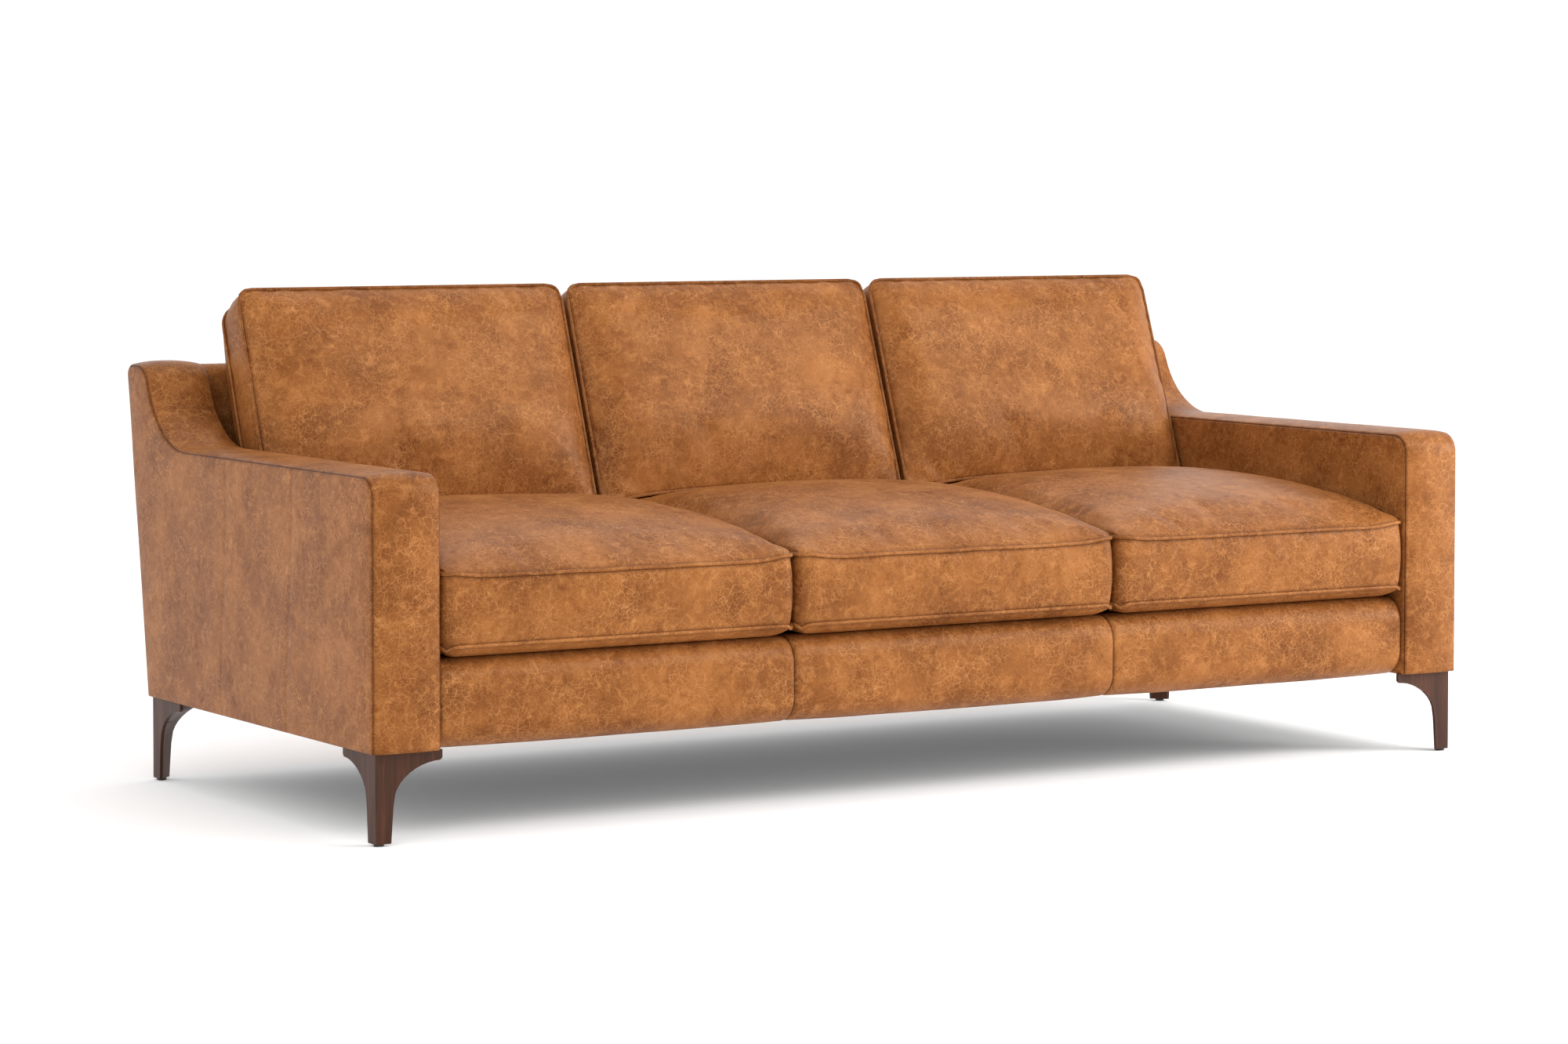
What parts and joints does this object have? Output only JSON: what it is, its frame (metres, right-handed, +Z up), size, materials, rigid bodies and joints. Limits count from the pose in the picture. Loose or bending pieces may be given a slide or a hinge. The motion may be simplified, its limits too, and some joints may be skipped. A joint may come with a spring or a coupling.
{
  "type": "sofa",
  "caption": "Leather sofa with loose boxed seat and back cushions, straight arms that sweep up to the back, a padded front rail and flared wooden corner legs.",
  "frame": {"origin": "on the floor, at the middle of the sofa's width and of its depth, cushions included", "axes": "+X to the right of somebody facing the sofa, -Y out of its front, +Z up"},
  "size_m": [2.232, 1.0061, 0.8658],
  "materials": {
    "leather": "satin",
    "walnut": "satin",
    "glide_plastic": "matte",
    "zinc_steel": "satin",
    "spring_steel": "satin",
    "frame_timber": "matte",
    "frame_plywood": "matte",
    "foam": "matte",
    "deck_cloth": "matte",
    "dust_cloth": "matte",
    "webbing": "matte",
    "zip_tape": "matte",
    "zip_metal": "satin"
  },
  "bodies": {
    "frame": {"leg_front_left": "walnut", "leg_front_right": "walnut", "leg_rear_left": "walnut", "leg_rear_right": "walnut", "glides": "glide_plastic", "leg_bolts": "zinc_steel", "leg_nuts": "zinc_steel", "front_rail": "frame_timber", "back_rail": "frame_timber", "cross_rails": "frame_timber", "seat_springs": "spring_steel", "spring_clips": "zinc_steel", "deck_pad": "foam", "deck_cloth": "deck_cloth", "dust_cover": "dust_cloth", "arm_panels_left": "frame_plywood", "arm_panels_right": "frame_plywood", "arm_posts_left": "frame_timber", "arm_posts_right": "frame_timber", "arm_foam_left": "foam", "arm_foam_right": "foam", "arm_boxing_left": "leather", "arm_boxing_right": "leather", "arm_outer_cover_left": "leather", "arm_outer_cover_right": "leather", "arm_inner_cover_left": "leather", "arm_inner_cover_right": "leather", "rail_foam": "foam", "rail_cover_left": "leather", "rail_cover_centre": "leather", "rail_cover_right": "leather", "back_frame": "frame_timber", "back_webbing": "webbing", "back_foam": "foam", "inside_back_cover": "leather", "outside_back_cover": "leather"},
    "seat_left": {"seat_cover_left": "leather", "seat_core_left": "foam", "seat_zip_left": "zip_tape"},
    "seat_pull_left": {"seat_pull_left": "zip_metal"},
    "back_left": {"back_cover_left": "leather", "back_core_left": "foam", "back_zip_left": "zip_tape"},
    "back_pull_left": {"back_pull_left": "zip_metal"},
    "seat_centre": {"seat_cover_centre": "leather", "seat_core_centre": "foam", "seat_zip_centre": "zip_tape"},
    "seat_pull_centre": {"seat_pull_centre": "zip_metal"},
    "back_centre": {"back_cover_centre": "leather", "back_core_centre": "foam", "back_zip_centre": "zip_tape"},
    "back_pull_centre": {"back_pull_centre": "zip_metal"},
    "seat_right": {"seat_cover_right": "leather", "seat_core_right": "foam", "seat_zip_right": "zip_tape"},
    "seat_pull_right": {"seat_pull_right": "zip_metal"},
    "back_right": {"back_cover_right": "leather", "back_core_right": "foam", "back_zip_right": "zip_tape"},
    "back_pull_right": {"back_pull_right": "zip_metal"}
  },
  "joints": [
    {"name": "seat_lift_left", "type": "slide", "parent": "frame", "child": "seat_left", "axis": [0, 0, 1], "range_m": [0, 0.45]},
    {"name": "back_lift_left", "type": "slide", "parent": "seat_left", "child": "back_left", "axis": [0, 0, 1], "range_m": [0, 0.45]},
    {"name": "seat_zip_left", "type": "slide", "parent": "seat_left", "child": "seat_pull_left", "axis": [1, 0, 0], "range_m": [0, 0.52]},
    {"name": "back_zip_left", "type": "slide", "parent": "back_left", "child": "back_pull_left", "axis": [1, 0, 0], "range_m": [0, 0.52]},
    {"name": "seat_lift_centre", "type": "slide", "parent": "frame", "child": "seat_centre", "axis": [0, 0, 1], "range_m": [0, 0.45]},
    {"name": "back_lift_centre", "type": "slide", "parent": "seat_centre", "child": "back_centre", "axis": [0, 0, 1], "range_m": [0, 0.45]},
    {"name": "seat_zip_centre", "type": "slide", "parent": "seat_centre", "child": "seat_pull_centre", "axis": [1, 0, 0], "range_m": [0, 0.52]},
    {"name": "back_zip_centre", "type": "slide", "parent": "back_centre", "child": "back_pull_centre", "axis": [1, 0, 0], "range_m": [0, 0.52]},
    {"name": "seat_lift_right", "type": "slide", "parent": "frame", "child": "seat_right", "axis": [0, 0, 1], "range_m": [0, 0.45]},
    {"name": "back_lift_right", "type": "slide", "parent": "seat_right", "child": "back_right", "axis": [0, 0, 1], "range_m": [0, 0.45]},
    {"name": "seat_zip_right", "type": "slide", "parent": "seat_right", "child": "seat_pull_right", "axis": [1, 0, 0], "range_m": [0, 0.52]},
    {"name": "back_zip_right", "type": "slide", "parent": "back_right", "child": "back_pull_right", "axis": [1, 0, 0], "range_m": [0, 0.52]}
  ]
}
